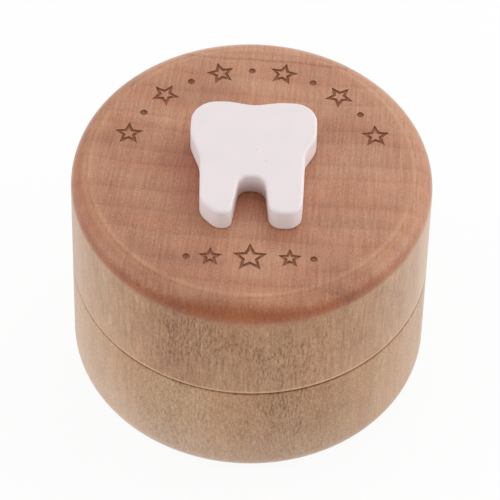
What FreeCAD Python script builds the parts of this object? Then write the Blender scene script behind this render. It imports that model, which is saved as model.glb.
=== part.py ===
import FreeCAD, Part
import math
import os

# Keepsake box for baby teeth: a turned wooden box in two halves, with a painted wooden tooth glued on the lid.
# The origin is the centre of the underside, +Z is up, and the tooth's roots point to -Y.

# Driving dimensions of the turned box, in millimetres
box_diameter = 50.0
base_height = 17.9          # underside to the shoulder that the lid sits on
lid_height = 18.4           # shoulder to the flat top
rim_round = 3.0             # quarter round turned on the top rim and the bottom rim
seam_chamfer = 0.3          # corners taken off on both sides of the seam

# The lid centres on a spigot that stands up inside the base's shoulder
spigot_diameter = 43.0
spigot_height = 4.0
spigot_lead_in = 0.6        # chamfer on the outer corner, which finds the socket
spigot_lip_chamfer = 0.4    # on the inner corner, where fingers reach in
socket_clearance = 0.15     # between spigot and socket, all round
socket_headroom = 0.4       # above the spigot, so that the lid seats on the shoulder
socket_mouth_chamfer = 0.4

# Hollow that holds the teeth
hollow_diameter = 38.0
floor_thickness = 5.0
ceiling_thickness = 5.0
hollow_corner_round = 2.0

# Tooth ornament and the film of glue under it
tooth_thickness = 3.4
tooth_edge_ease = 0.4
glue_thickness = 0.1
glue_setback = 0.4          # the film stops short of the tooth's edge

# Tooth outline: corners of a polygon as (x, y, radius), clockwise from the crown, each rounded by an arc
tooth_corners = [
    (-8.50, 9.25, 3.6),     # left shoulder of the crown
    (-3.50, 9.45, 8.0),     # left cusp
    (0.10, 8.75, 6.0),      # dip between the cusps
    (3.60, 9.40, 8.0),      # right cusp
    (8.85, 9.25, 3.3),      # right shoulder
    (8.80, 3.10, 4.0),      # right bulge of the crown
    (7.25, 0.10, 3.0),      # right side of the neck
    (7.05, -7.00, 12.0),    # outer side of the right root
    (6.80, -10.80, 2.0),    # right root tip, outer corner
    (2.55, -10.80, 1.8),    # right root tip, inner corner
    (1.75, -4.30, 1.75),    # notch between the roots, right corner
    (-1.70, -4.30, 1.55),   # notch, left corner
    (-2.75, -10.70, 1.1),   # left root tip, inner corner
    (-4.60, -11.15, 1.9),   # left root tip
    (-7.05, -8.75, 3.2),    # outer side of the left root
    (-7.20, -0.70, 6.0),    # left side of the neck
    (-8.65, 3.40, 6.0),     # left bulge of the crown
]

# Worked out from the driving dimensions
box_radius = box_diameter / 2
box_top = base_height + lid_height
spigot_radius = spigot_diameter / 2
spigot_top = base_height + spigot_height
socket_radius = spigot_radius + socket_clearance
socket_top = spigot_top + socket_headroom
hollow_radius = hollow_diameter / 2
lid_ceiling = box_top - ceiling_thickness
tooth_foot = box_top + glue_thickness

same_height = 1e-6          # tolerance for edges that lie in one level plane
origin = FreeCAD.Vector(0, 0, 0)
up = FreeCAD.Vector(0, 0, 1)


def corner_arc(before, corner, after, radius):
    # Start, middle and end of the arc that rounds one corner, tangent to the straight runs on both sides
    run_in = (before - corner).normalize()
    run_out = (after - corner).normalize()
    half_angle = run_in.getAngle(run_out) / 2
    tangent_length = radius / math.tan(half_angle)
    inward = (run_in + run_out).normalize()
    centre = corner + inward * (radius / math.sin(half_angle))
    return corner + run_in * tangent_length, centre - inward * radius, corner + run_out * tangent_length


def rounded_outline(corners, point_at):
    # Closed wire of straight runs and tangent arcs; point_at places a corner's two coordinates in space
    points = [point_at(across, along) for across, along, radius in corners]
    arcs = []
    for index, (across, along, radius) in enumerate(corners):
        corner = points[index]
        before = points[index - 1]
        after = points[(index + 1) % len(points)]
        if radius > 0:
            arcs.append(corner_arc(before, corner, after, radius))
        else:
            arcs.append((corner, None, corner))
    edges = []
    for index, (start, middle, end) in enumerate(arcs):
        if middle is not None:
            edges.append(Part.Arc(start, middle, end).toShape())
        next_start = arcs[(index + 1) % len(arcs)][0]
        edges.append(Part.LineSegment(end, next_start).toShape())
    return Part.Wire(edges)


def turned(profile):
    # Solid of revolution about the box's axis, from corners as (radius from the axis, height, rounding)
    outline = rounded_outline(profile, lambda across, along: FreeCAD.Vector(across, 0, along))
    return Part.Face(outline).revolve(origin, up, 360)


def base():
    # Cup with a shoulder for the lid and a spigot standing up inside it
    return turned([
        (0, 0, 0),
        (box_radius, 0, rim_round),
        (box_radius, base_height - seam_chamfer, 0),
        (box_radius - seam_chamfer, base_height, 0),
        (spigot_radius, base_height, 0),
        (spigot_radius, spigot_top - spigot_lead_in, 0),
        (spigot_radius - spigot_lead_in, spigot_top, 0),
        (hollow_radius + spigot_lip_chamfer, spigot_top, 0),
        (hollow_radius, spigot_top - spigot_lip_chamfer, 0),
        (hollow_radius, floor_thickness, hollow_corner_round),
        (0, floor_thickness, 0),
    ])


def lid():
    # Cap with a socket that drops over the spigot and a hollow above it
    return turned([
        (0, lid_ceiling, 0),
        (hollow_radius, lid_ceiling, hollow_corner_round),
        (hollow_radius, socket_top, 0),
        (socket_radius, socket_top, 0),
        (socket_radius, base_height + socket_mouth_chamfer, 0),
        (socket_radius + socket_mouth_chamfer, base_height, 0),
        (box_radius - seam_chamfer, base_height, 0),
        (box_radius, base_height + seam_chamfer, 0),
        (box_radius, box_top, rim_round),
        (0, box_top, 0),
    ])


def tooth_outline(height):
    return rounded_outline(tooth_corners, lambda across, along: FreeCAD.Vector(across, along, height))


def tooth():
    # Cut-out of even thickness, with its upper edge sanded round
    blank = Part.Face(tooth_outline(tooth_foot)).extrude(up * tooth_thickness)
    tooth_top = tooth_foot + tooth_thickness
    upper_edges = [edge for edge in blank.Edges if abs(edge.BoundBox.ZMin - tooth_top) < same_height]
    return blank.makeFillet(tooth_edge_ease, upper_edges).Solids[0]


def tooth_glue_film():
    footprint = Part.Face(tooth_outline(box_top).makeOffset2D(-glue_setback))
    return footprint.extrude(up * glue_thickness)


def main():
    os.makedirs("parts", exist_ok=True)
    for make in (base, lid, tooth, tooth_glue_film):
        piece = make()
        piece.exportStep(f"parts/{make.__name__}.step")
        print(make.__name__, piece.ShapeType, "valid", piece.isValid(), f"{piece.Volume / 1000:.2f} cm3")


main()
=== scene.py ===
import math
import bpy
import numpy as np
from mathutils import Matrix, Vector


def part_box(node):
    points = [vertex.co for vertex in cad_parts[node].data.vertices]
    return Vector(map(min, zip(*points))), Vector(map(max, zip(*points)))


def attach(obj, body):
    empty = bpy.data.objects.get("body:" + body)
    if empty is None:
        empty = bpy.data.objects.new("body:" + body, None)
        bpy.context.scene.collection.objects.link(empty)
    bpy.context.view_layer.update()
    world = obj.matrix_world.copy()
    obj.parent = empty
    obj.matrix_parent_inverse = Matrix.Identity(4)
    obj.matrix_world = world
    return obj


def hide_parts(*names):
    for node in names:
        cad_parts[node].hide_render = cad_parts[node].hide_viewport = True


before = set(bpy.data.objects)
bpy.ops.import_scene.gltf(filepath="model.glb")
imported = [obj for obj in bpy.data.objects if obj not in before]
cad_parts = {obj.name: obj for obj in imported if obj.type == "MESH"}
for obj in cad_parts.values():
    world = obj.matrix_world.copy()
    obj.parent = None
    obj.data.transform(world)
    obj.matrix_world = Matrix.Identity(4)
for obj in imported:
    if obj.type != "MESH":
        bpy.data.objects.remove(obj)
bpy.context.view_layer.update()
mm = 0.001

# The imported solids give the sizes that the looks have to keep, in millimetres here
lidLow, lidHigh = [np.array(corner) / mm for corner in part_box("lid")]
toothLow, toothHigh = [np.array(corner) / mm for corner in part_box("tooth")]
boxRadius = lidHigh[0]
seamHeight = lidLow[2]
lidTop = lidHigh[2]
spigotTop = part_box("base")[1][2] / mm
print("frame: box", round(2 * boxRadius, 2), "mm across, lid top at", round(lidTop, 2), "mm")


def toLinear(hexColour):
    # sRGB hex to linear RGBA
    srgb = np.array([int(hexColour[i:i + 2], 16) for i in (1, 3, 5)]) / 255
    linear = np.where(srgb <= 0.04045, srgb / 12.92, ((srgb + 0.055) / 1.055) ** 2.4)
    return (*linear.tolist(), 1.0)


def addNode(tree, kind, inputs=(), stops=(), **settings):
    # One node. Settings are its properties. Inputs fill its sockets, a list by order, a dictionary by name,
    # with numbers, hex colours, or nodes and sockets to link from. Stops fill a colour ramp.
    node = tree.nodes.new("ShaderNode" + kind)
    for name, value in settings.items():
        setattr(node, name, value)
    live = {socket.name: socket for socket in node.inputs if socket.enabled}  # settings can switch some off
    for name, value in inputs.items() if isinstance(inputs, dict) else enumerate(inputs):
        socket = live[name] if isinstance(name, str) else node.inputs[name]
        if isinstance(value, bpy.types.Node):
            value = next(output for output in value.outputs if output.enabled)
        if isinstance(value, bpy.types.NodeSocket):
            tree.links.new(value, socket)
        else:
            socket.default_value = toLinear(value) if isinstance(value, str) else value
    for index, (place, colour) in enumerate(stops):
        ramp = node.color_ramp.elements
        stop = ramp[index] if index < 2 else ramp.new(place)  # a new ramp has two stops
        stop.position = place
        stop.color = toLinear(colour) if isinstance(colour, str) else (colour, colour, colour, 1)
    return node


def newMaterial(name):
    material = bpy.data.materials.new(name)
    material.use_nodes = True
    material.node_tree.nodes.clear()
    return material, material.node_tree


# Shapes

tiny = 1e-6  # shorter runs than this count as nothing
sharpAngle = math.radians(40)  # folds sharper than this keep a hard edge


def unitRows(rows):
    # each row divided by its own length
    return rows / np.maximum(np.linalg.norm(rows, axis=1), tiny)[:, None]


def roundedCorners(corners, closed, arcSteps=10, runStops=(0.01, 0.3, 0.7, 0.99)):
    # Points along a polygon whose corners (a, b, radius) are rounded by tangent arcs.
    # An arc starts and ends radius/tan(half the corner's angle) from its corner, and its points turn evenly
    # about a centre radius/sin(half angle) away on the corner's bisector; straight runs get a few points.
    corners = np.asarray(corners, float)
    place = corners[:, :2]
    radius = corners[:, 2].copy()
    before = unitRows(np.roll(place, 1, axis=0) - place)
    after = unitRows(np.roll(place, -1, axis=0) - place)
    half = np.arccos(np.clip((before * after).sum(axis=1), -1, 1)) / 2
    if not closed:
        radius[[0, -1]] = 0
    tangent = radius / np.tan(half)
    centre = place + unitRows(before + after) * (radius / np.sin(half))[:, None]
    start = place + before * tangent[:, None]
    end = place + after * tangent[:, None]
    sweep = np.pi - 2 * half
    t = np.linspace(0, 1, arcSteps)[None, :]
    weightStart = np.sin((1 - t) * sweep[:, None]) / np.sin(sweep)[:, None]
    weightEnd = np.sin(t * sweep[:, None]) / np.sin(sweep)[:, None]
    arcs = centre[:, None] + weightStart[..., None] * (start - centre)[:, None]
    arcs = arcs + weightEnd[..., None] * (end - centre)[:, None]
    stops = np.asarray(runStops)[None, :, None]
    runs = end[:, None] * (1 - stops) + np.roll(start, -1, axis=0)[:, None] * stops
    points = np.concatenate([arcs, runs], axis=1).reshape(-1, 2)
    if not closed:
        points = points[:len(points) - len(runStops)]
    step = np.linalg.norm(np.diff(points, axis=0, prepend=points[-1:] + 1), axis=1)
    return points[step > tiny]


def gridFaces(rows, columns, wrapRows):
    # quads of a grid that is closed along its columns, and along its rows as well where wrapRows is set
    row = np.arange(rows if wrapRows else rows - 1)[:, None]
    column = np.arange(columns)[None, :]
    nextRow = (row + 1) % rows
    nextColumn = (column + 1) % columns
    quads = [row * columns + column, nextRow * columns + column,
             nextRow * columns + nextColumn, row * columns + nextColumn]
    return np.stack([np.broadcast_to(q, (len(row), columns)) for q in quads], axis=-1).reshape(-1, 4)


def makePiece(name, points, faces, materials):
    mesh = bpy.data.meshes.new(name)
    mesh.from_pydata((np.asarray(points) * mm).tolist(), [], faces)
    for material in materials:
        mesh.materials.append(material)
    mesh.shade_smooth()
    mesh.set_sharp_from_angle(angle=sharpAngle)
    piece = bpy.data.objects.new(name, mesh)
    bpy.context.scene.collection.objects.link(piece)
    return piece


def turnedSurface(profile, segments):
    # Solid of revolution: the point at angle t on profile point (r, z) is (r cos t, r sin t, z).
    # The profile starts and ends on the axis; its rings next to there are closed by flat caps.
    ring = profile[1:-1]
    angle = np.arange(segments) * 2 * np.pi / segments
    x = ring[:, :1] * np.cos(angle)
    y = ring[:, :1] * np.sin(angle)
    z = np.broadcast_to(ring[:, 1:], x.shape)
    points = np.stack([x, y, z], axis=-1).reshape(-1, 3)
    faces = gridFaces(len(ring), segments, False).tolist()
    first = list(range(segments))
    last = list(range(len(points) - segments, len(points)))[::-1]
    return points, faces + [first, last]


def profileSlope(profile):
    # how far each profile point's outward normal points up: the run's own direction turned by a quarter
    return unitRows(np.gradient(profile, axis=0))[:, 0]


def turnedLooks(piece, profile, segments, skin=1.0, wall=2.0):
    # What the wood's finish needs to know at each point: how level the surface is (the eased corners at the
    # seam count as side), whether it lies inside the box, and how far along the profile it is in millimetres.
    # Inside is more than a wall in from the side and a skin in from top and bottom; the seam's edge is a skin
    # deep as well.
    ring = profile[1:-1]
    step = np.linalg.norm(np.diff(profile, axis=0), axis=1)
    inside = ring[:, 0] < boxRadius - wall
    inside &= (ring[:, 1] > skin) & (ring[:, 1] < lidTop - skin)
    atSeam = (ring[:, 0] > boxRadius - skin) & (np.abs(ring[:, 1] - seamHeight) < skin)
    values = {
        "facing": np.where(atSeam, 0, np.abs(profileSlope(profile)[1:-1])),
        "turning": inside,
        "alongProfile": np.cumsum(step)[:-1],
    }
    for name, value in values.items():
        layer = piece.data.attributes.new(name, "FLOAT", "POINT")
        layer.data.foreach_set("value", np.repeat(value, segments).astype(np.float32))


# Wood: beech, turned with its grain along the axis and sanded, no varnish. The top shows end grain, redder
# and with fine streaks along the rays; the sides show long grain with the short dark flecks of beech; the
# rounded rim, where the fibres are cut on the slant, soaks up the most light and is a deep red brown.

noiseMiddle = 0.5  # noise is spread evenly about this
flatten = (1, 1, 0)  # a place times this loses its height


def turnedBeech(name, look):
    material, tree = newMaterial(name)
    place = addNode(tree, "TexCoord").outputs["Object"]
    here = addNode(tree, "Mapping", {"Vector": place, "Scale": (1 / mm,) * 3})
    at = addNode(tree, "SeparateXYZ", [here]).outputs
    facing = addNode(tree, "Attribute", attribute_name="facing").outputs["Fac"]

    # the wood's own directions: along the ring, out from a far pith (the rings waver a little), up the fibres
    pith = Vector(look["pith"])
    toPith = addNode(tree, "VectorMath", [look["pith"], here], operation="SUBTRACT")
    apart = addNode(tree, "SeparateXYZ", [toPith]).outputs
    bearing = addNode(tree, "Math", [apart["X"], apart["Y"]], operation="ARCTAN2")
    alongRing = addNode(tree, "Math", [bearing, pith.length], operation="MULTIPLY")
    waver = addNode(tree, "TexNoise", {"Vector": here, "Scale": 1 / look["waverMm"],
                                       "Detail": look["waverDetail"]})
    pulled = addNode(tree, "VectorMath", [waver.outputs["Color"], (look["waverBy"],) * 3, toPith],
                     operation="MULTIPLY_ADD")
    level = addNode(tree, "VectorMath", [pulled, flatten], operation="MULTIPLY")
    reach = addNode(tree, "VectorMath", [level], operation="LENGTH")
    grown = addNode(tree, "CombineXYZ", [alongRing, reach, apart["Z"]])
    inMm = addNode(tree, "VectorMath", [grown, look["cutFrom"]], operation="ADD")

    # drift between tints, mottle, rays as thin sheets that run out from the pith, spindles as their short
    # ends, fibres along the axis, pores as specks; each noise is turned after it is stretched, so that its
    # own grid doesn't show
    layers = {}
    for layer, sizes in look["layersMm"].items():
        cells = addNode(tree, "Mapping", {"Vector": inMm, "Scale": tuple(1 / size for size in sizes),
                                          "Rotation": look["noiseTurn"]})
        layers[layer] = addNode(tree, "TexNoise", {"Vector": cells, "Scale": 1.0,
                                                   "Detail": look["noiseDetail"],
                                                   "Roughness": look["noiseRough"]})

    # growth rings: each year is pale at first and ends in a darker line, stronger in some years
    years = addNode(tree, "Math", [reach, look["ringMm"]], operation="DIVIDE")
    uneven = addNode(tree, "TexNoise", {"W": years, "Scale": look["unevenPerYear"],
                                        "Detail": look["waverDetail"]}, noise_dimensions="1D")
    years = addNode(tree, "Math", [uneven, look["unevenBy"], years], operation="MULTIPLY_ADD")
    season = addNode(tree, "Math", [years], operation="FRACT")
    layers["rings"] = addNode(tree, "ValToRGB", [season], look["season"])
    # paler and darker stretches of years, and one year that ends in a fine dark line
    grownShare = addNode(tree, "MapRange", [reach, pith.length - boxRadius, pith.length + boxRadius])
    layers["bands"] = addNode(tree, "ValToRGB", [grownShare], look["bands"])
    fromLine = addNode(tree, "Math", [reach, look["darkYearAt"]], operation="SUBTRACT")
    fromLine = addNode(tree, "Math", [fromLine], operation="ABSOLUTE")
    layers["darkYear"] = addNode(tree, "MapRange", [fromLine, 0, look["darkYearMm"], 1, 0])

    # how far the surface here faces along the rays: the share of the pith's bearing in the way off the axis
    outward = addNode(tree, "VectorMath", [here, flatten], operation="MULTIPLY")
    radius = addNode(tree, "VectorMath", [outward], operation="LENGTH")
    aim = addNode(tree, "VectorMath", [outward], operation="NORMALIZE")
    aim = addNode(tree, "VectorMath", [aim, pith.normalized()], operation="DOT_PRODUCT")
    alongRays = addNode(tree, "Math", [aim], operation="ABSOLUTE")
    # what grows or fades with that share, and what changes from the left side to the right
    byRays = {part: addNode(tree, "MapRange", [alongRays, *span, *shares])
              for part, (span, shares) in look["byRays"].items()}
    bySide = {part: addNode(tree, "MapRange", [at["X"], -boxRadius, boxRadius, *shares])
              for part, shares in look["bySide"].items()}

    # flecks are the strongest spindles only, cut across, and denser in some places than in others
    dense = addNode(tree, "MapRange", [layers["patches"], *look["fleckPatches"], look["fleckLeast"], 1])
    strong = addNode(tree, "MapRange", [layers["spindles"], *look["fleckSpindles"]])
    strong = addNode(tree, "Math", [strong, byRays["flecks"]], operation="MULTIPLY")
    layers["flecks"] = addNode(tree, "Math", [dense, strong], operation="MULTIPLY")

    # each cut's tone is a sum of the layers about its middle, less the flecks; a ramp turns it to a colour
    tints = {}
    for cut in ("end", "long"):
        tone = noiseMiddle - noiseMiddle * sum(share for share in look[cut + "Shares"].values() if share > 0)
        for layer, share in look[cut + "Shares"].items():
            tone = addNode(tree, "Math", [layers[layer], share, tone], operation="MULTIPLY_ADD")
        tints[cut] = addNode(tree, "ValToRGB", [tone], look[cut + "Tones"])

    # the cut's change follows the slope, frayed along the fibres; on steep faces it starts a little below the
    # round, and further up where the surface faces across the rays
    frayed = addNode(tree, "Math", [layers["fibres"], look["fray"], -noiseMiddle * look["fray"]],
                     operation="MULTIPLY_ADD")
    start = addNode(tree, "MapRange", [at["Z"], *look["cutHeights"], *look["cutStarts"]])
    start = addNode(tree, "Math", [alongRays, look["cutTurn"], start], operation="MULTIPLY_ADD")
    steep = addNode(tree, "Math", [1, facing], operation="SUBTRACT")
    slope = addNode(tree, "Math", [start, steep, facing], operation="MULTIPLY_ADD")
    slope = addNode(tree, "Math", [slope, frayed], operation="ADD")
    isEnd = addNode(tree, "MapRange", [slope, *look["endSlopes"]])
    colour = addNode(tree, "Mix", {"Factor": isEnd, "A": tints["long"], "B": tints["end"]}, data_type="RGBA")

    # coats are what tints the wood further, each by its own share: some years' wood is redder than others
    coats = {"blush": addNode(tree, "MapRange", [layers["blush"], *look["blushNoise"]])}

    # where the flat top ends a pale ring, broken along its length, is partly burnished by the tool and partly
    # a painted highlight; the round outside it is honey-coloured where it faces across the rays, with a
    # painted gleam, each more on one side
    band = addNode(tree, "MapRange", [radius, *look["rimBandRadii"]])
    broken = addNode(tree, "MapRange", [layers["patches"], *look["brokenPatches"], look["brokenLeast"], 1])
    broken = addNode(tree, "Math", [broken, isEnd], operation="MULTIPLY")
    paintedGleamShare = addNode(tree, "Math", [broken, bySide["gleam"]], operation="MULTIPLY")
    honeyed = addNode(tree, "Math", [byRays["honey"], bySide["honey"]], operation="MULTIPLY")
    honeyed = addNode(tree, "Math", [honeyed, isEnd], operation="MULTIPLY")
    for ring, share in {"honey": honeyed, "pale": broken, "gleam": paintedGleamShare}.items():
        shine = addNode(tree, "ValToRGB", [band], look[ring + "Shares"])
        coats[ring] = addNode(tree, "Math", [shine, share], operation="MULTIPLY")

    # cut on the slant the fibres look darker and redder, more so and over more of the round where it faces
    # along the rays: the slope is divided by a power of that share
    spread = addNode(tree, "Math", [alongRays, look["slantPower"]], operation="POWER")
    spread = addNode(tree, "Math", [spread, look["spreadLeast"]], operation="MAXIMUM")
    lean = addNode(tree, "Math", [slope, spread], operation="DIVIDE", use_clamp=True)
    slant = addNode(tree, "ValToRGB", [lean], look["slantShares"])
    coats["slant"] = addNode(tree, "Math", [slant, byRays["slant"]], operation="MULTIPLY")

    # painted shade: the top is darker round the tooth, where the tooth shades it; distance from a box about
    # it
    beside = addNode(tree, "VectorMath", [outward, look["toothShadeAt"]], operation="SUBTRACT")
    beside = addNode(tree, "VectorMath", [beside], operation="ABSOLUTE")
    beside = addNode(tree, "VectorMath", [beside, look["toothShadeHalf"]], operation="SUBTRACT")
    beside = addNode(tree, "VectorMath", [beside, (0, 0, 0)], operation="MAXIMUM")
    beside = addNode(tree, "VectorMath", [beside], operation="LENGTH")
    shadeNearTooth = addNode(tree, "MapRange", [beside, 0, look["toothShadeReach"], look["toothShadeShare"], 0])
    onTop = addNode(tree, "Math", [at["Z"], lidTop - look["toothShadeDepth"]], operation="GREATER_THAN")
    coats["glued"] = addNode(tree, "Math", [shadeNearTooth, onTop], operation="MULTIPLY")

    # painted shade: the base is a little darker towards its right side
    coats["browned"] = bySide["browned"]

    # each half is paler towards its foot, most of all on the sanded arris there, partly the arris's own
    # colour and partly painted light bounced up from the floor; the base more on one side
    upHalf = addNode(tree, "MapRange", [at["Z"], *look["footHeights"]])
    sandedAndBounceLit = addNode(tree, "ValToRGB", [upHalf], look["footPaleAndBounceShares"])
    outside = addNode(tree, "Math", [radius, boxRadius - look["footDepth"]], operation="GREATER_THAN")
    sandedAndBounceLit = addNode(tree, "Math", [sandedAndBounceLit, outside], operation="MULTIPLY")
    coats["foot"] = addNode(tree, "Math", [sandedAndBounceLit, bySide["foot"]], operation="MULTIPLY")

    for coat, (tone, blend) in look["coats"].items():
        colour = addNode(tree, "Mix", {"Factor": coats[coat], "A": colour, "B": tone}, data_type="RGBA",
                         blend_type=blend)

    # sanded fibres stand a few hundredths of a millimetre proud; the gouge leaves fine rings inside
    turning = addNode(tree, "Attribute", attribute_name="turning").outputs["Fac"]
    alongProfile = addNode(tree, "Attribute", attribute_name="alongProfile").outputs["Fac"]
    gouge = addNode(tree, "Math", [alongProfile, 2 * math.pi / look["gougeMm"]], operation="MULTIPLY")
    groove = addNode(tree, "Math", [gouge], operation="SINE")
    groove = addNode(tree, "Math", [groove, turning], operation="MULTIPLY")
    relief = addNode(tree, "Math", [groove, look["gougeShare"], layers["fibres"]], operation="MULTIPLY_ADD")
    bump = addNode(tree, "Bump", {"Height": relief, "Strength": look["bump"],
                                  "Distance": look["fibreMm"] * mm})
    rough = addNode(tree, "MapRange", [layers["fibres"], 0, 1, *look["rough"]])
    shader = addNode(tree, "BsdfPrincipled", {
        "Base Color": colour,
        "Roughness": rough,
        "IOR": look["ior"],
        "Normal": bump,
        "Sheen Weight": look["fuzz"],  # the fuzz of sanded fibres pales the wood where it is seen edge on
        "Sheen Roughness": look["fuzzRough"],
        "Sheen Tint": look["fuzzTone"],
    })
    addNode(tree, "OutputMaterial", {"Surface": shader})
    return material


lidLook = {
    # growth: the pith's place off the axis, the years' width and how they waver, where one dark year lies
    "pith": (25.0, 300.0, 0.0),
    "ringMm": 3.7,
    "unevenPerYear": 0.7,
    "unevenBy": 1.6,
    "waverMm": 14.0,
    "waverBy": 2.0,
    "waverDetail": 1.0,
    "darkYearAt": 282.0,
    "darkYearMm": 0.35,
    "season": [(0.0, 0.5), (0.1, 0.75), (0.6, 0.6), (0.9, 0.25), (0.96, 0.0), (1.0, 0.5)],
    "bands": [(0.0, 1.0), (0.12, 1.0), (0.24, 0.5), (0.85, 0.5), (0.91, 0.12), (0.94, 0.2), (0.96, 0.5)],
    # noise: which part of the tree this half is cut from, and each layer's cells along the ring, out from the
    # pith and up; beech's pores and fibres are finer than 0.1 mm, and are drawn as coarse as needed to show
    "cutFrom": (406.0, 312.0, 449.0),
    "noiseTurn": (0.5, 0.7, 0.9),
    "noiseDetail": 2.0,
    "noiseRough": 0.6,
    "layersMm": {
        "drift": (14.0, 9.0, 30.0),
        "blush": (12.0, 2.8, 40.0),
        "patches": (9.0, 9.0, 9.0),
        "rays": (0.3, 5.5, 1.5),
        "spindles": (0.24, 3.0, 0.9),
        "fibres": (0.36, 0.36, 5.0),
        "mottle": (1.3, 1.3, 2.2),
        "pores": (0.24, 0.28, 0.35),
    },
    # the two cuts: each layer's share in the tone, and the colours from the darkest tone to the palest
    "endShares": {"drift": 0.7, "rings": 0.17, "rays": 0.6, "pores": 0.65, "bands": 0.2, "darkYear": -0.25},
    "longShares": {"drift": 0.45, "rings": 0.1, "mottle": 0.4, "fibres": 0.8, "pores": 0.65, "flecks": -0.5},
    "endTones": [(0.0, "#7f4b34"), (0.5, "#b88060"), (1.0, "#d9aa8a")],
    "longTones": [(0.0, "#804516"), (0.5, "#b18760"), (1.0, "#dab290")],
    "fleckPatches": (0.38, 0.62),
    "fleckSpindles": (0.44, 0.7),
    "fleckLeast": 0.45,
    # where one cut turns into the other
    "fray": 0.25,
    "cutHeights": (31.0, 33.3),
    "cutStarts": (-0.45, -0.19),
    "cutTurn": 0.35,
    "endSlopes": (0.05, 0.25),
    # further tints, in the order in which they are laid on; some are painted light: the highlight in the pale
    # ring, the gleam, the shade round the tooth, the shade on the base's right side and the bounce light at
    # the feet
    "coats": {
        "blush": ("#fff3ee", "MULTIPLY"),
        "honey": ("#e8c9aa", "MULTIPLY"),
        "pale": ("#e8b993", "MIX"),
        "gleam": ("#e8ba9c", "MIX"),
        "slant": ("#dcb07a", "MULTIPLY"),
        "glued": ("#e0c0b4", "MULTIPLY"),
        "browned": ("#f5efe8", "MULTIPLY"),
        "foot": ("#ffd6b4", "MIX"),
    },
    # shares over a span of facing along the rays, and shares from the left side to the right
    "byRays": {
        "flecks": ((0.78, 0.93), (0.12, 1.0)),
        "honey": ((0.5, 0.8), (1.0, 0.1)),
        "slant": ((0.3, 0.95), (0.2, 1.0)),
    },
    "bySide": {"honey": (1.0, 0.28), "gleam": (0.5, 1.2), "browned": (0.0, 0.0), "foot": (1.0, 1.0)},
    "blushNoise": (0.36, 0.64),
    # rings, the pale one partly and the gleam wholly a painted highlight: the radii between which they lie,
    # and their shares from the inner radius to the outer
    "rimBandRadii": (21.0, 24.9),
    "brokenPatches": (0.36, 0.6),
    "brokenLeast": 0.35,
    "honeyShares": [(0.52, 0.0), (0.74, 1.0)],
    "paleShares": [(0.0, 0.0), (0.24, 0.06), (0.32, 0.3), (0.39, 0.32), (0.44, 0.08), (0.49, 0.08),
                   (0.55, 0.22), (0.62, 0.14), (0.7, 0.0)],
    "gleamShares": [(0.6, 0.0), (0.72, 0.2), (0.88, 0.08), (1.0, 0.0)],
    # slanting cut: its shares from upright to level
    "slantPower": 4.0,
    "spreadLeast": 0.68,
    "slantShares": [(0.0, 0.0), (0.08, 0.15), (0.16, 0.5), (0.3, 0.87), (0.45, 0.97), (0.58, 0.95),
                    (0.7, 0.79), (0.8, 0.56), (0.89, 0.25), (0.95, 0.08), (1.0, 0.0)],
    # painted shade round the tooth: the middle and half sides of its box, and how far beyond it and down the
    # shade goes
    "toothShadeAt": (-3.0, -1.2, 0.0),
    "toothShadeHalf": (6.0, 5.2, 0.0),
    "toothShadeReach": 5.0,
    "toothShadeDepth": 0.5,
    "toothShadeShare": 0.8,
    # foot, paler partly from sanding and partly from painted bounce light: its shares between two heights, on
    # the outermost skin alone
    "footHeights": (18.2, 30.2),
    "footPaleAndBounceShares": [(0.0, 0.45), (0.033, 0.07), (1.0, 0.0)],
    "footDepth": 1.0,
    # surface
    "gougeMm": 0.6,
    "gougeShare": 0.6,
    "fibreMm": 0.05,
    "bump": 0.3,
    "rough": (0.39, 0.51),
    "ior": 1.5,
    "fuzz": 0.86,
    "fuzzRough": 0.35,
    "fuzzTone": "#fff2e4",
}
baseLook = {
    **lidLook,
    "cutFrom": (249.0, 291.0, 296.0),
    "longShares": {"drift": 0.5, "rings": 0.1, "mottle": 0.28, "fibres": 0.4, "pores": 0.95, "flecks": -0.5},
    "longTones": [(0.0, "#83562c"), (0.5, "#bd9771"), (1.0, "#e5c2a0")],
    "coats": {**lidLook["coats"], "foot": ("#ead6c6", "MIX")},
    # painted shade towards the right side, and painted bounce light at the foot, stronger on the left
    "bySide": {**lidLook["bySide"], "browned": (0.0, 1.0), "foot": (1.55, 0.4)},
    "slantShares": [(0.08, 0.0), (0.3, 0.2), (0.95, 0.2), (1.0, 0.0)],
    "footHeights": (1.0, 16.0),
    "footPaleAndBounceShares": [(0.0, 0.66), (0.15, 0.26), (0.5, 0.08), (1.0, 0.0)],
    "fuzz": 0.56,
}
lidBeech = turnedBeech("turnedBeechLid", lidLook)
baseBeech = turnedBeech("turnedBeechBase", baseLook)


# Scorched wood at the bottom of the burnt-in marks: charred beech, dull and dark brown

scorchLook = {
    "grainMm": (0.3, 1.5, 0.3),
    "grainDetail": 3.0,
    "tones": [(0.3, "#8a573c"), (0.7, "#a87155")],
    "bump": 0.4,
    "reliefMm": 0.05,
    "rough": 0.8,
    "ior": 1.45,
}


def scorchedBeech(look):
    material, tree = newMaterial("scorchedBeech")
    place = addNode(tree, "TexCoord").outputs["Object"]
    grain = addNode(tree, "Mapping", {"Vector": place,
                                      "Scale": tuple(1 / (size * mm) for size in look["grainMm"])})
    uneven = addNode(tree, "TexNoise", {"Vector": grain, "Scale": 1.0, "Detail": look["grainDetail"]})
    colour = addNode(tree, "ValToRGB", [uneven], look["tones"])
    bump = addNode(tree, "Bump", {"Height": uneven, "Strength": look["bump"],
                                  "Distance": look["reliefMm"] * mm})
    shader = addNode(tree, "BsdfPrincipled", {"Base Color": colour, "Roughness": look["rough"],
                                              "IOR": look["ior"], "Normal": bump})
    addNode(tree, "OutputMaterial", {"Surface": shader})
    return material


scorch = scorchedBeech(scorchLook)


# Matt white paint, rolled on a sanded wooden cut-out: chalky, faintly uneven, a few grey specks

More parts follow.
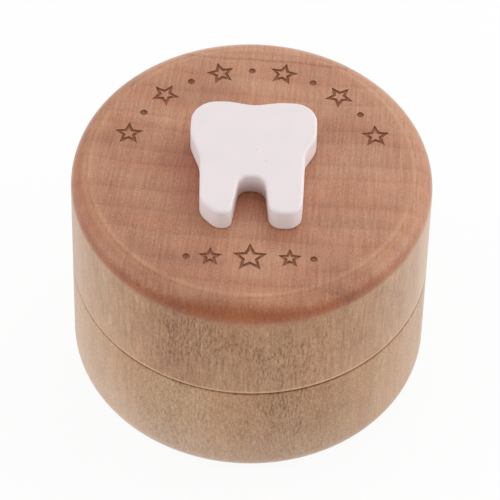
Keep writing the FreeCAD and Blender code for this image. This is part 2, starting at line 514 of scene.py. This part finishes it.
paintLook = {
    "rollerMm": 0.6,
    "rollerDetail": 3.0,
    "cloudMm": 4.0,
    "cloudDetail": 1.0,
    "tones": [(0.35, "#f2e8e9"), (0.65, "#f5eaeb")],
    "speckMm": 5.0,
    "speckSizes": [(0.02, 1.0), (0.05, 0.0)],
    "speckTone": "#9a9598",
    "speckShare": 0.2,
    # painted shade deep in the notch: its middle and reach, the height it rises to, and its tone
    "notchAt": (0.0, -5.2, 0.0),
    "notchReach": (1.5, 4.5),
    "notchShadeHeight": 2.5,
    "notchShadeTone": "#c9b6ae",
    "bump": 0.12,
    "reliefMm": 0.05,
    "rough": 0.6,
    "ior": 1.48,
}


def mattPaint(look):
    material, tree = newMaterial("mattWhitePaint")
    place = addNode(tree, "TexCoord").outputs["Object"]
    here = addNode(tree, "Mapping", {"Vector": place, "Scale": (1 / mm,) * 3})
    roller = addNode(tree, "TexNoise", {"Vector": here, "Scale": 1 / look["rollerMm"],
                                        "Detail": look["rollerDetail"]})
    cloud = addNode(tree, "TexNoise", {"Vector": here, "Scale": 1 / look["cloudMm"],
                                       "Detail": look["cloudDetail"]})
    tint = addNode(tree, "ValToRGB", [cloud], look["tones"])
    spots = addNode(tree, "TexVoronoi", {"Vector": here, "Scale": 1 / look["speckMm"]})
    speck = addNode(tree, "ValToRGB", [spots], look["speckSizes"])
    fainter = addNode(tree, "Math", [speck, look["speckShare"]], operation="MULTIPLY")
    colour = addNode(tree, "Mix", {"Factor": fainter, "A": tint, "B": look["speckTone"]}, data_type="RGBA")
    # painted shade: deep in the notch between the roots the paint is darker and browner towards the foot,
    # where the notch lies in shade
    level = addNode(tree, "VectorMath", [here, flatten], operation="MULTIPLY")
    away = addNode(tree, "VectorMath", [level, look["notchAt"]], operation="DISTANCE")
    near = addNode(tree, "MapRange", [away, *look["notchReach"], 1, 0])
    height = addNode(tree, "SeparateXYZ", [here]).outputs["Z"]
    low = addNode(tree, "MapRange", [height, toothLow[2], toothLow[2] + look["notchShadeHeight"], 1, 0])
    notchShade = addNode(tree, "Math", [near, low], operation="MULTIPLY")
    colour = addNode(tree, "Mix", {"Factor": notchShade, "A": colour, "B": look["notchShadeTone"]}, data_type="RGBA",
                     blend_type="MULTIPLY")
    bump = addNode(tree, "Bump", {"Height": roller, "Strength": look["bump"],
                                  "Distance": look["reliefMm"] * mm})
    shader = addNode(tree, "BsdfPrincipled", {"Base Color": colour, "Roughness": look["rough"],
                                              "IOR": look["ior"], "Normal": bump})
    addNode(tree, "OutputMaterial", {"Surface": shader})
    return material


paint = mattPaint(paintLook)


# Dried wood glue: amber, a little glossy, seen only as a dark line under the tooth

glueLook = {
    "blotchMm": 1.5,
    "blotchDetail": 2.0,
    "tones": [(0.35, "#6b4a33"), (0.65, "#85613f")],
    "rough": 0.35,
    "ior": 1.46,
}


def driedGlue(look):
    material, tree = newMaterial("driedWoodGlue")
    place = addNode(tree, "TexCoord").outputs["Object"]
    blotch = addNode(tree, "TexNoise", {"Vector": place, "Scale": 1 / (look["blotchMm"] * mm),
                                        "Detail": look["blotchDetail"]})
    colour = addNode(tree, "ValToRGB", [blotch], look["tones"])
    shader = addNode(tree, "BsdfPrincipled", {"Base Color": colour, "Roughness": look["rough"],
                                              "IOR": look["ior"]})
    addNode(tree, "OutputMaterial", {"Surface": shader})
    return material


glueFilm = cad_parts["tooth_glue_film"]
glueFilm.data.materials.clear()
glueFilm.data.materials.append(driedGlue(glueLook))
print("materials made")


# Base: the lower half, with its shoulder, spigot and hollow

baseShape = {
    "rimRound": 3.0,
    "seamRound": 0.15,
    "seamGap": 0.2,
    "gapWander": 0.08,
    "gapWidestAt": -45.0,
    "shoulderRound": 0.1,
    "spigotRadius": 21.5,
    "spigotLeadIn": 0.6,
    "lipRound": 0.4,
    "hollowRadius": 19.0,
    "floor": 5.0,
    "cornerRound": 2.0,
    "segments": 288,
}
shoulderLow = seamHeight - baseShape["seamGap"]
baseProfile = roundedCorners([
    (0, baseShape["floor"], 0),
    (baseShape["hollowRadius"], baseShape["floor"], baseShape["cornerRound"]),
    (baseShape["hollowRadius"], spigotTop, baseShape["lipRound"]),
    (baseShape["spigotRadius"], spigotTop, baseShape["spigotLeadIn"]),
    (baseShape["spigotRadius"], seamHeight, baseShape["shoulderRound"]),
    (boxRadius, shoulderLow, baseShape["seamRound"]),
    (boxRadius, 0, baseShape["rimRound"]),
    (0, 0, 0),
], closed=False)
basePoints, baseFaces = turnedSurface(baseProfile, baseShape["segments"])
# the joint is a hair wider on one side: the shoulder's outer edge drops by the cosine of the angle from there
bearing = np.arctan2(basePoints[:, 1], basePoints[:, 0]) - math.radians(baseShape["gapWidestAt"])
pastSpigot = np.hypot(basePoints[:, 0], basePoints[:, 1]) - baseShape["spigotRadius"]
reach = np.clip(pastSpigot / (boxRadius - baseShape["spigotRadius"]), 0, 1)
shoulder = basePoints[:, 2] > shoulderLow - baseShape["seamRound"]
basePoints[:, 2] -= shoulder * reach * baseShape["gapWander"] * np.cos(bearing)
basePiece = makePiece("baseTurned", basePoints, baseFaces, [baseBeech])
turnedLooks(basePiece, baseProfile, baseShape["segments"])
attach(basePiece, "base")
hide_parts("base")
print("base made")


# Lid: the upper half, with the burnt-in ornament cut into its top

lidShape = {
    "rimRound": 3.0,
    "seamRound": 0.3,
    "socketRadius": 21.65,
    "socketDepth": 4.4,
    "mouthRound": 0.4,
    "socketRound": 0.1,
    "stepRound": 0.2,
    "hollowRadius": 19.0,
    "ceiling": 5.0,
    "cornerRound": 2.0,
    "segments": 288,
}
socketTop = seamHeight + lidShape["socketDepth"]
lidCeiling = lidTop - lidShape["ceiling"]
lidProfile = roundedCorners([
    (0, lidTop, 0),
    (boxRadius, lidTop, lidShape["rimRound"]),
    (boxRadius, seamHeight, lidShape["seamRound"]),
    (lidShape["socketRadius"], seamHeight, lidShape["mouthRound"]),
    (lidShape["socketRadius"], socketTop, lidShape["socketRound"]),
    (lidShape["hollowRadius"], socketTop, lidShape["stepRound"]),
    (lidShape["hollowRadius"], lidCeiling, lidShape["cornerRound"]),
    (0, lidCeiling, 0),
], closed=False)
lidPoints, lidFaces = turnedSurface(lidProfile, lidShape["segments"])
lidPiece = makePiece("lidTurned", lidPoints, lidFaces, [lidBeech, scorch])
turnedLooks(lidPiece, lidProfile, lidShape["segments"])


# Ornament: outlined stars and dots by turns on an arc behind the tooth, and more of both in a row before it

ornament = {
    "arcRadius": 18.2,
    "arcFrom": 161.0,
    "arcTo": 21.0,
    "arcMarks": 11,
    "arcStar": 2.05,
    "rowHeight": -15.9,
    "rowStep": 5.4,
    "rowStars": {-1: 1.7, 0: 2.5, 1: 1.7},  # steps from the middle, and each star's radius
    "rowDots": (-1.6, 1.6),
    "rowTurn": 90.0,
    "starTips": 5,
    "starWaist": 0.47,
    "stroke": 0.42,
    "dotRadius": 0.5,
    "dotSides": 20,
    "dotHub": 0.05,  # a dot's cutter is a thick tube, open at its middle by this share
    "depth": 0.2,
    "clear": 0.5,
}


def ringCutter(centre, outer, inner):
    # Closed ring with upright walls: the outer outline from above the top down to the mark's floor, then the
    # inner outline back up. It cuts the band between the two.
    low, high = lidTop - ornament["depth"], lidTop + ornament["clear"]
    rings = [(outer, high), (outer, low), (inner, low), (inner, high)]
    points = np.concatenate([np.column_stack([ring + centre, np.full(len(ring), z)]) for ring, z in rings])
    return points, gridFaces(len(rings), len(outer), True)


def starCutter(centre, radius, turn):
    # Tips and waists by turns, at even angles. All sides of a star lie at one distance from its centre, so an
    # even stroke is bounded by the star itself, scaled down by the stroke's share of that distance.
    corner = np.arange(2 * ornament["starTips"])
    angle = np.radians(turn) + corner * np.pi / ornament["starTips"]
    reach = np.where(corner % 2 == 0, radius, radius * ornament["starWaist"])
    outer = np.stack([reach * np.cos(angle), reach * np.sin(angle)], axis=1)
    side = outer[1] - outer[0]
    sideDistance = abs(outer[0, 0] * outer[1, 1] - outer[0, 1] * outer[1, 0]) / np.linalg.norm(side)
    return ringCutter(centre, outer, outer * (1 - ornament["stroke"] / sideDistance))


def dotCutter(centre):
    # points at even angles round the centre
    angle = np.arange(ornament["dotSides"]) * 2 * np.pi / ornament["dotSides"]
    outer = np.stack([np.cos(angle), np.sin(angle)], axis=1) * ornament["dotRadius"]
    return ringCutter(centre, outer, outer * ornament["dotHub"])


cutters = []
marks = np.linspace(ornament["arcFrom"], ornament["arcTo"], ornament["arcMarks"])
for index, bearing in enumerate(marks):
    spot = ornament["arcRadius"] * np.array([np.cos(np.radians(bearing)), np.sin(np.radians(bearing))])
    isStar = index % 2 == 0
    cutters.append(starCutter(spot, ornament["arcStar"], bearing) if isStar else dotCutter(spot))
for column, radius in ornament["rowStars"].items():
    spot = np.array([column * ornament["rowStep"], ornament["rowHeight"]])
    cutters.append(starCutter(spot, radius, ornament["rowTurn"]))
for column in ornament["rowDots"]:
    cutters.append(dotCutter(np.array([column * ornament["rowStep"], ornament["rowHeight"]])))
starts = np.cumsum([0] + [len(points) for points, faces in cutters])
cutPoints = np.concatenate([points for points, faces in cutters])
cutFaces = np.concatenate([faces + start for (points, faces), start in zip(cutters, starts)])
cutter = makePiece("ornamentCutter", cutPoints, cutFaces.tolist(), [lidBeech, scorch])
cutter.data.polygons.foreach_set("material_index", np.ones(len(cutter.data.polygons), np.int32))
carve = lidPiece.modifiers.new("burntMarks", "BOOLEAN")
carve.operation = "DIFFERENCE"
carve.solver = "EXACT"
carve.object = cutter
carved = bpy.data.meshes.new_from_object(lidPiece.evaluated_get(bpy.context.evaluated_depsgraph_get()))
lidPiece.modifiers.clear()
lidPiece.data = carved
carved.set_sharp_from_angle(angle=sharpAngle)
bpy.data.objects.remove(cutter)
# the carving's own new points on the flat top are end grain too
spots = np.empty(len(carved.vertices) * 3, np.float32)
carved.vertices.foreach_get("co", spots)
upness = np.empty(len(carved.vertices), np.float32)
carved.attributes["facing"].data.foreach_get("value", upness)
topSkin = 0.001  # millimetres, for rounding alone
upness[spots[2::3] > (lidTop - topSkin) * mm] = 1
carved.attributes["facing"].data.foreach_set("value", upness)
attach(lidPiece, "lid")
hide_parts("lid")
print("lid made,", len(carved.polygons), "faces")


# Tooth: a flat cut-out with an eased edge. Its outline is a polygon with rounded corners, and each ring of
# the edge is that outline moved in by the ease times one less the cosine of a turn, at a height that follows
# the turn's sine. At the foot sine and cosine change places.

toothShape = {
    # corners as x, y and radius, clockwise from the crown's left one
    "corners": [
        (-8.50, 9.25, 3.6), (-3.50, 9.45, 8.0), (0.10, 8.75, 6.0),  # crown's left cusp and the dip beside it
        (3.60, 9.40, 8.0), (8.85, 9.25, 3.3),  # its right cusp
        (8.80, 3.10, 4.0), (7.25, 0.10, 3.0), (7.05, -7.00, 12.0),  # right side
        (6.80, -10.80, 2.0), (2.55, -10.80, 1.8),  # right root
        (1.75, -4.30, 1.75), (-1.70, -4.30, 1.55),  # notch
        (-2.75, -10.70, 1.1), (-4.60, -11.15, 1.9), (-7.05, -8.75, 3.2),  # left root
        (-7.20, -0.70, 6.0), (-8.65, 3.40, 6.0),  # left side
    ],
    "runFrom": 0.1,
    "runTo": 0.9,
    "runSteps": 7,
    "edgeEase": 0.45,
    "footEase": 0.12,
    "edgeSteps": 8,
    "faceMargin": 0.05,
}
runStops = np.linspace(toothShape["runFrom"], toothShape["runTo"], toothShape["runSteps"])
outline = roundedCorners(toothShape["corners"], closed=True, runStops=runStops)[::-1]
along = unitRows(np.roll(outline, -1, axis=0) - np.roll(outline, 1, axis=0))
inward = np.stack([-along[:, 1], along[:, 0]], axis=1)
turn = np.linspace(0, np.pi / 2, toothShape["edgeSteps"])
ease, foot = toothShape["edgeEase"], toothShape["footEase"]
low, high = toothLow[2], toothHigh[2]
inset = [foot * (1 - np.sin(turn)), ease * (1 - np.cos(turn)), [ease + toothShape["faceMargin"]]]
height = [low + foot * (1 - np.cos(turn)), high - ease + ease * np.sin(turn), [high]]
inset, height = np.concatenate(inset), np.concatenate(height)
rings = outline[None] + inward[None] * inset[:, None, None]
toothPoints = np.concatenate([rings, np.broadcast_to(height[:, None, None], rings.shape[:2] + (1,))], axis=2)
count = len(outline)
toothFaces = gridFaces(len(inset), count, False)[:, ::-1].tolist()
toothFaces += [list(range(count))[::-1], list(range((len(inset) - 1) * count, len(inset) * count))]
toothPiece = makePiece("toothCutOut", toothPoints.reshape(-1, 3), toothFaces, [paint])
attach(toothPiece, "lid")
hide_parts("tooth")
print("tooth made")


# Stage: white floor, white surround, soft lamps

studio = {
    "surround": 0.67,
    "tableGlow": 0.02,
    "paperTone": "#fafafa",
    "glowTone": "#ffffff",
    "floorHalf": 3000.0,
    "floorDrop": 0.02,
    "seenShare": 0.92,
}


def whitePaper():
    # Matt white paper; what the camera sees of it is mostly plain white, and the rest keeps the shadow
    material, tree = newMaterial("studioFloor")
    rays = addNode(tree, "LightPath").outputs
    seen = addNode(tree, "Math", [rays["Is Camera Ray"], rays["Is Glossy Ray"]], operation="MAXIMUM")
    seen = addNode(tree, "Math", [seen, rays["Is Transmission Ray"]], operation="MAXIMUM")
    paper = addNode(tree, "BsdfPrincipled", {"Base Color": studio["paperTone"], "Roughness": 1.0,
                                             "Specular IOR Level": 0.0, "Emission Color": studio["glowTone"],
                                             "Emission Strength": studio["tableGlow"]})
    white = addNode(tree, "Emission", {"Color": studio["glowTone"], "Strength": 1.0})
    part = addNode(tree, "Math", [seen, studio["seenShare"]], operation="MULTIPLY")
    both = addNode(tree, "MixShader", [part, paper, white])
    addNode(tree, "OutputMaterial", {"Surface": both})
    return material


half, drop = studio["floorHalf"], -studio["floorDrop"]
floorPoints = [(-half, -half, drop), (half, -half, drop), (half, half, drop), (-half, half, drop)]
floor = makePiece("studioFloor", floorPoints, [[0, 1, 2, 3]], [whitePaper()])

world = bpy.data.worlds.new("studioWhite")
bpy.context.scene.world = world
world.use_nodes = True
tree = world.node_tree
tree.nodes.clear()
rays = addNode(tree, "LightPath").outputs
shown = addNode(tree, "MapRange", [rays["Is Camera Ray"], 0, 1, studio["surround"], 1])
light = addNode(tree, "Background", {"Color": studio["glowTone"], "Strength": shown})
addNode(tree, "OutputWorld", {"Surface": light})

lamps = {
    "backBox": {"at": (200.0, 380.0, 480.0), "size": 600.0, "watts": 1.1},
    "leftCard": {"at": (-600.0, 0.0, 120.0), "size": 360.0, "watts": 0.95},
    "rightCard": {"at": (600.0, 0.0, 120.0), "size": 360.0, "watts": 1.15},
}
for name, lamp in lamps.items():
    data = bpy.data.lights.new(name, "AREA")
    data.shape = "SQUARE"
    data.size = lamp["size"] * mm
    data.energy = lamp["watts"]
    box = bpy.data.objects.new(name, data)
    away = Vector(lamp["at"]) - Vector((0, 0, seamHeight))
    box.location = Vector(lamp["at"]) * mm
    box.rotation_mode = "QUATERNION"
    box.rotation_quaternion = away.to_track_quat("Z", "Y")
    bpy.context.scene.collection.objects.link(box)
print("stage set")


# Camera, at the photograph's angle: 50.3 degrees up, a long lens, rolled a little

photoView = {
    "elevation": 50.284,
    "roll": -1.419,
    "lens": 281.8,
    "sensor": 36.0,
    "distance": 552.9,
    "aimHeight": 18.14,
    "aimPixel": (250.03, 252.99),
    "imageSide": 500,
}
up, roll = math.radians(photoView["elevation"]), math.radians(photoView["roll"])
backward = np.array([0, -math.cos(up), math.sin(up)])
upward = np.array([0, math.sin(up), math.cos(up)])
sideways = np.array([1.0, 0, 0])
cameraX = sideways * math.cos(roll) - upward * math.sin(roll)
cameraY = sideways * math.sin(roll) + upward * math.cos(roll)
cameraData = bpy.data.cameras.new("photoCamera")
cameraData.lens = photoView["lens"]
cameraData.sensor_width = photoView["sensor"]
cameraData.shift_x = 0.5 - photoView["aimPixel"][0] / photoView["imageSide"]
cameraData.shift_y = photoView["aimPixel"][1] / photoView["imageSide"] - 0.5
camera = bpy.data.objects.new("photoCamera", cameraData)
spot = (backward * photoView["distance"] + np.array([0, 0, photoView["aimHeight"]])) * mm
turned = Matrix(np.stack([cameraX, cameraY, backward], axis=1).tolist())
camera.matrix_world = Matrix.Translation(spot) @ turned.to_4x4()
bpy.context.scene.collection.objects.link(camera)
bpy.context.scene.camera = camera
bpy.context.scene.view_settings.view_transform = "Standard"

print("scene ready")
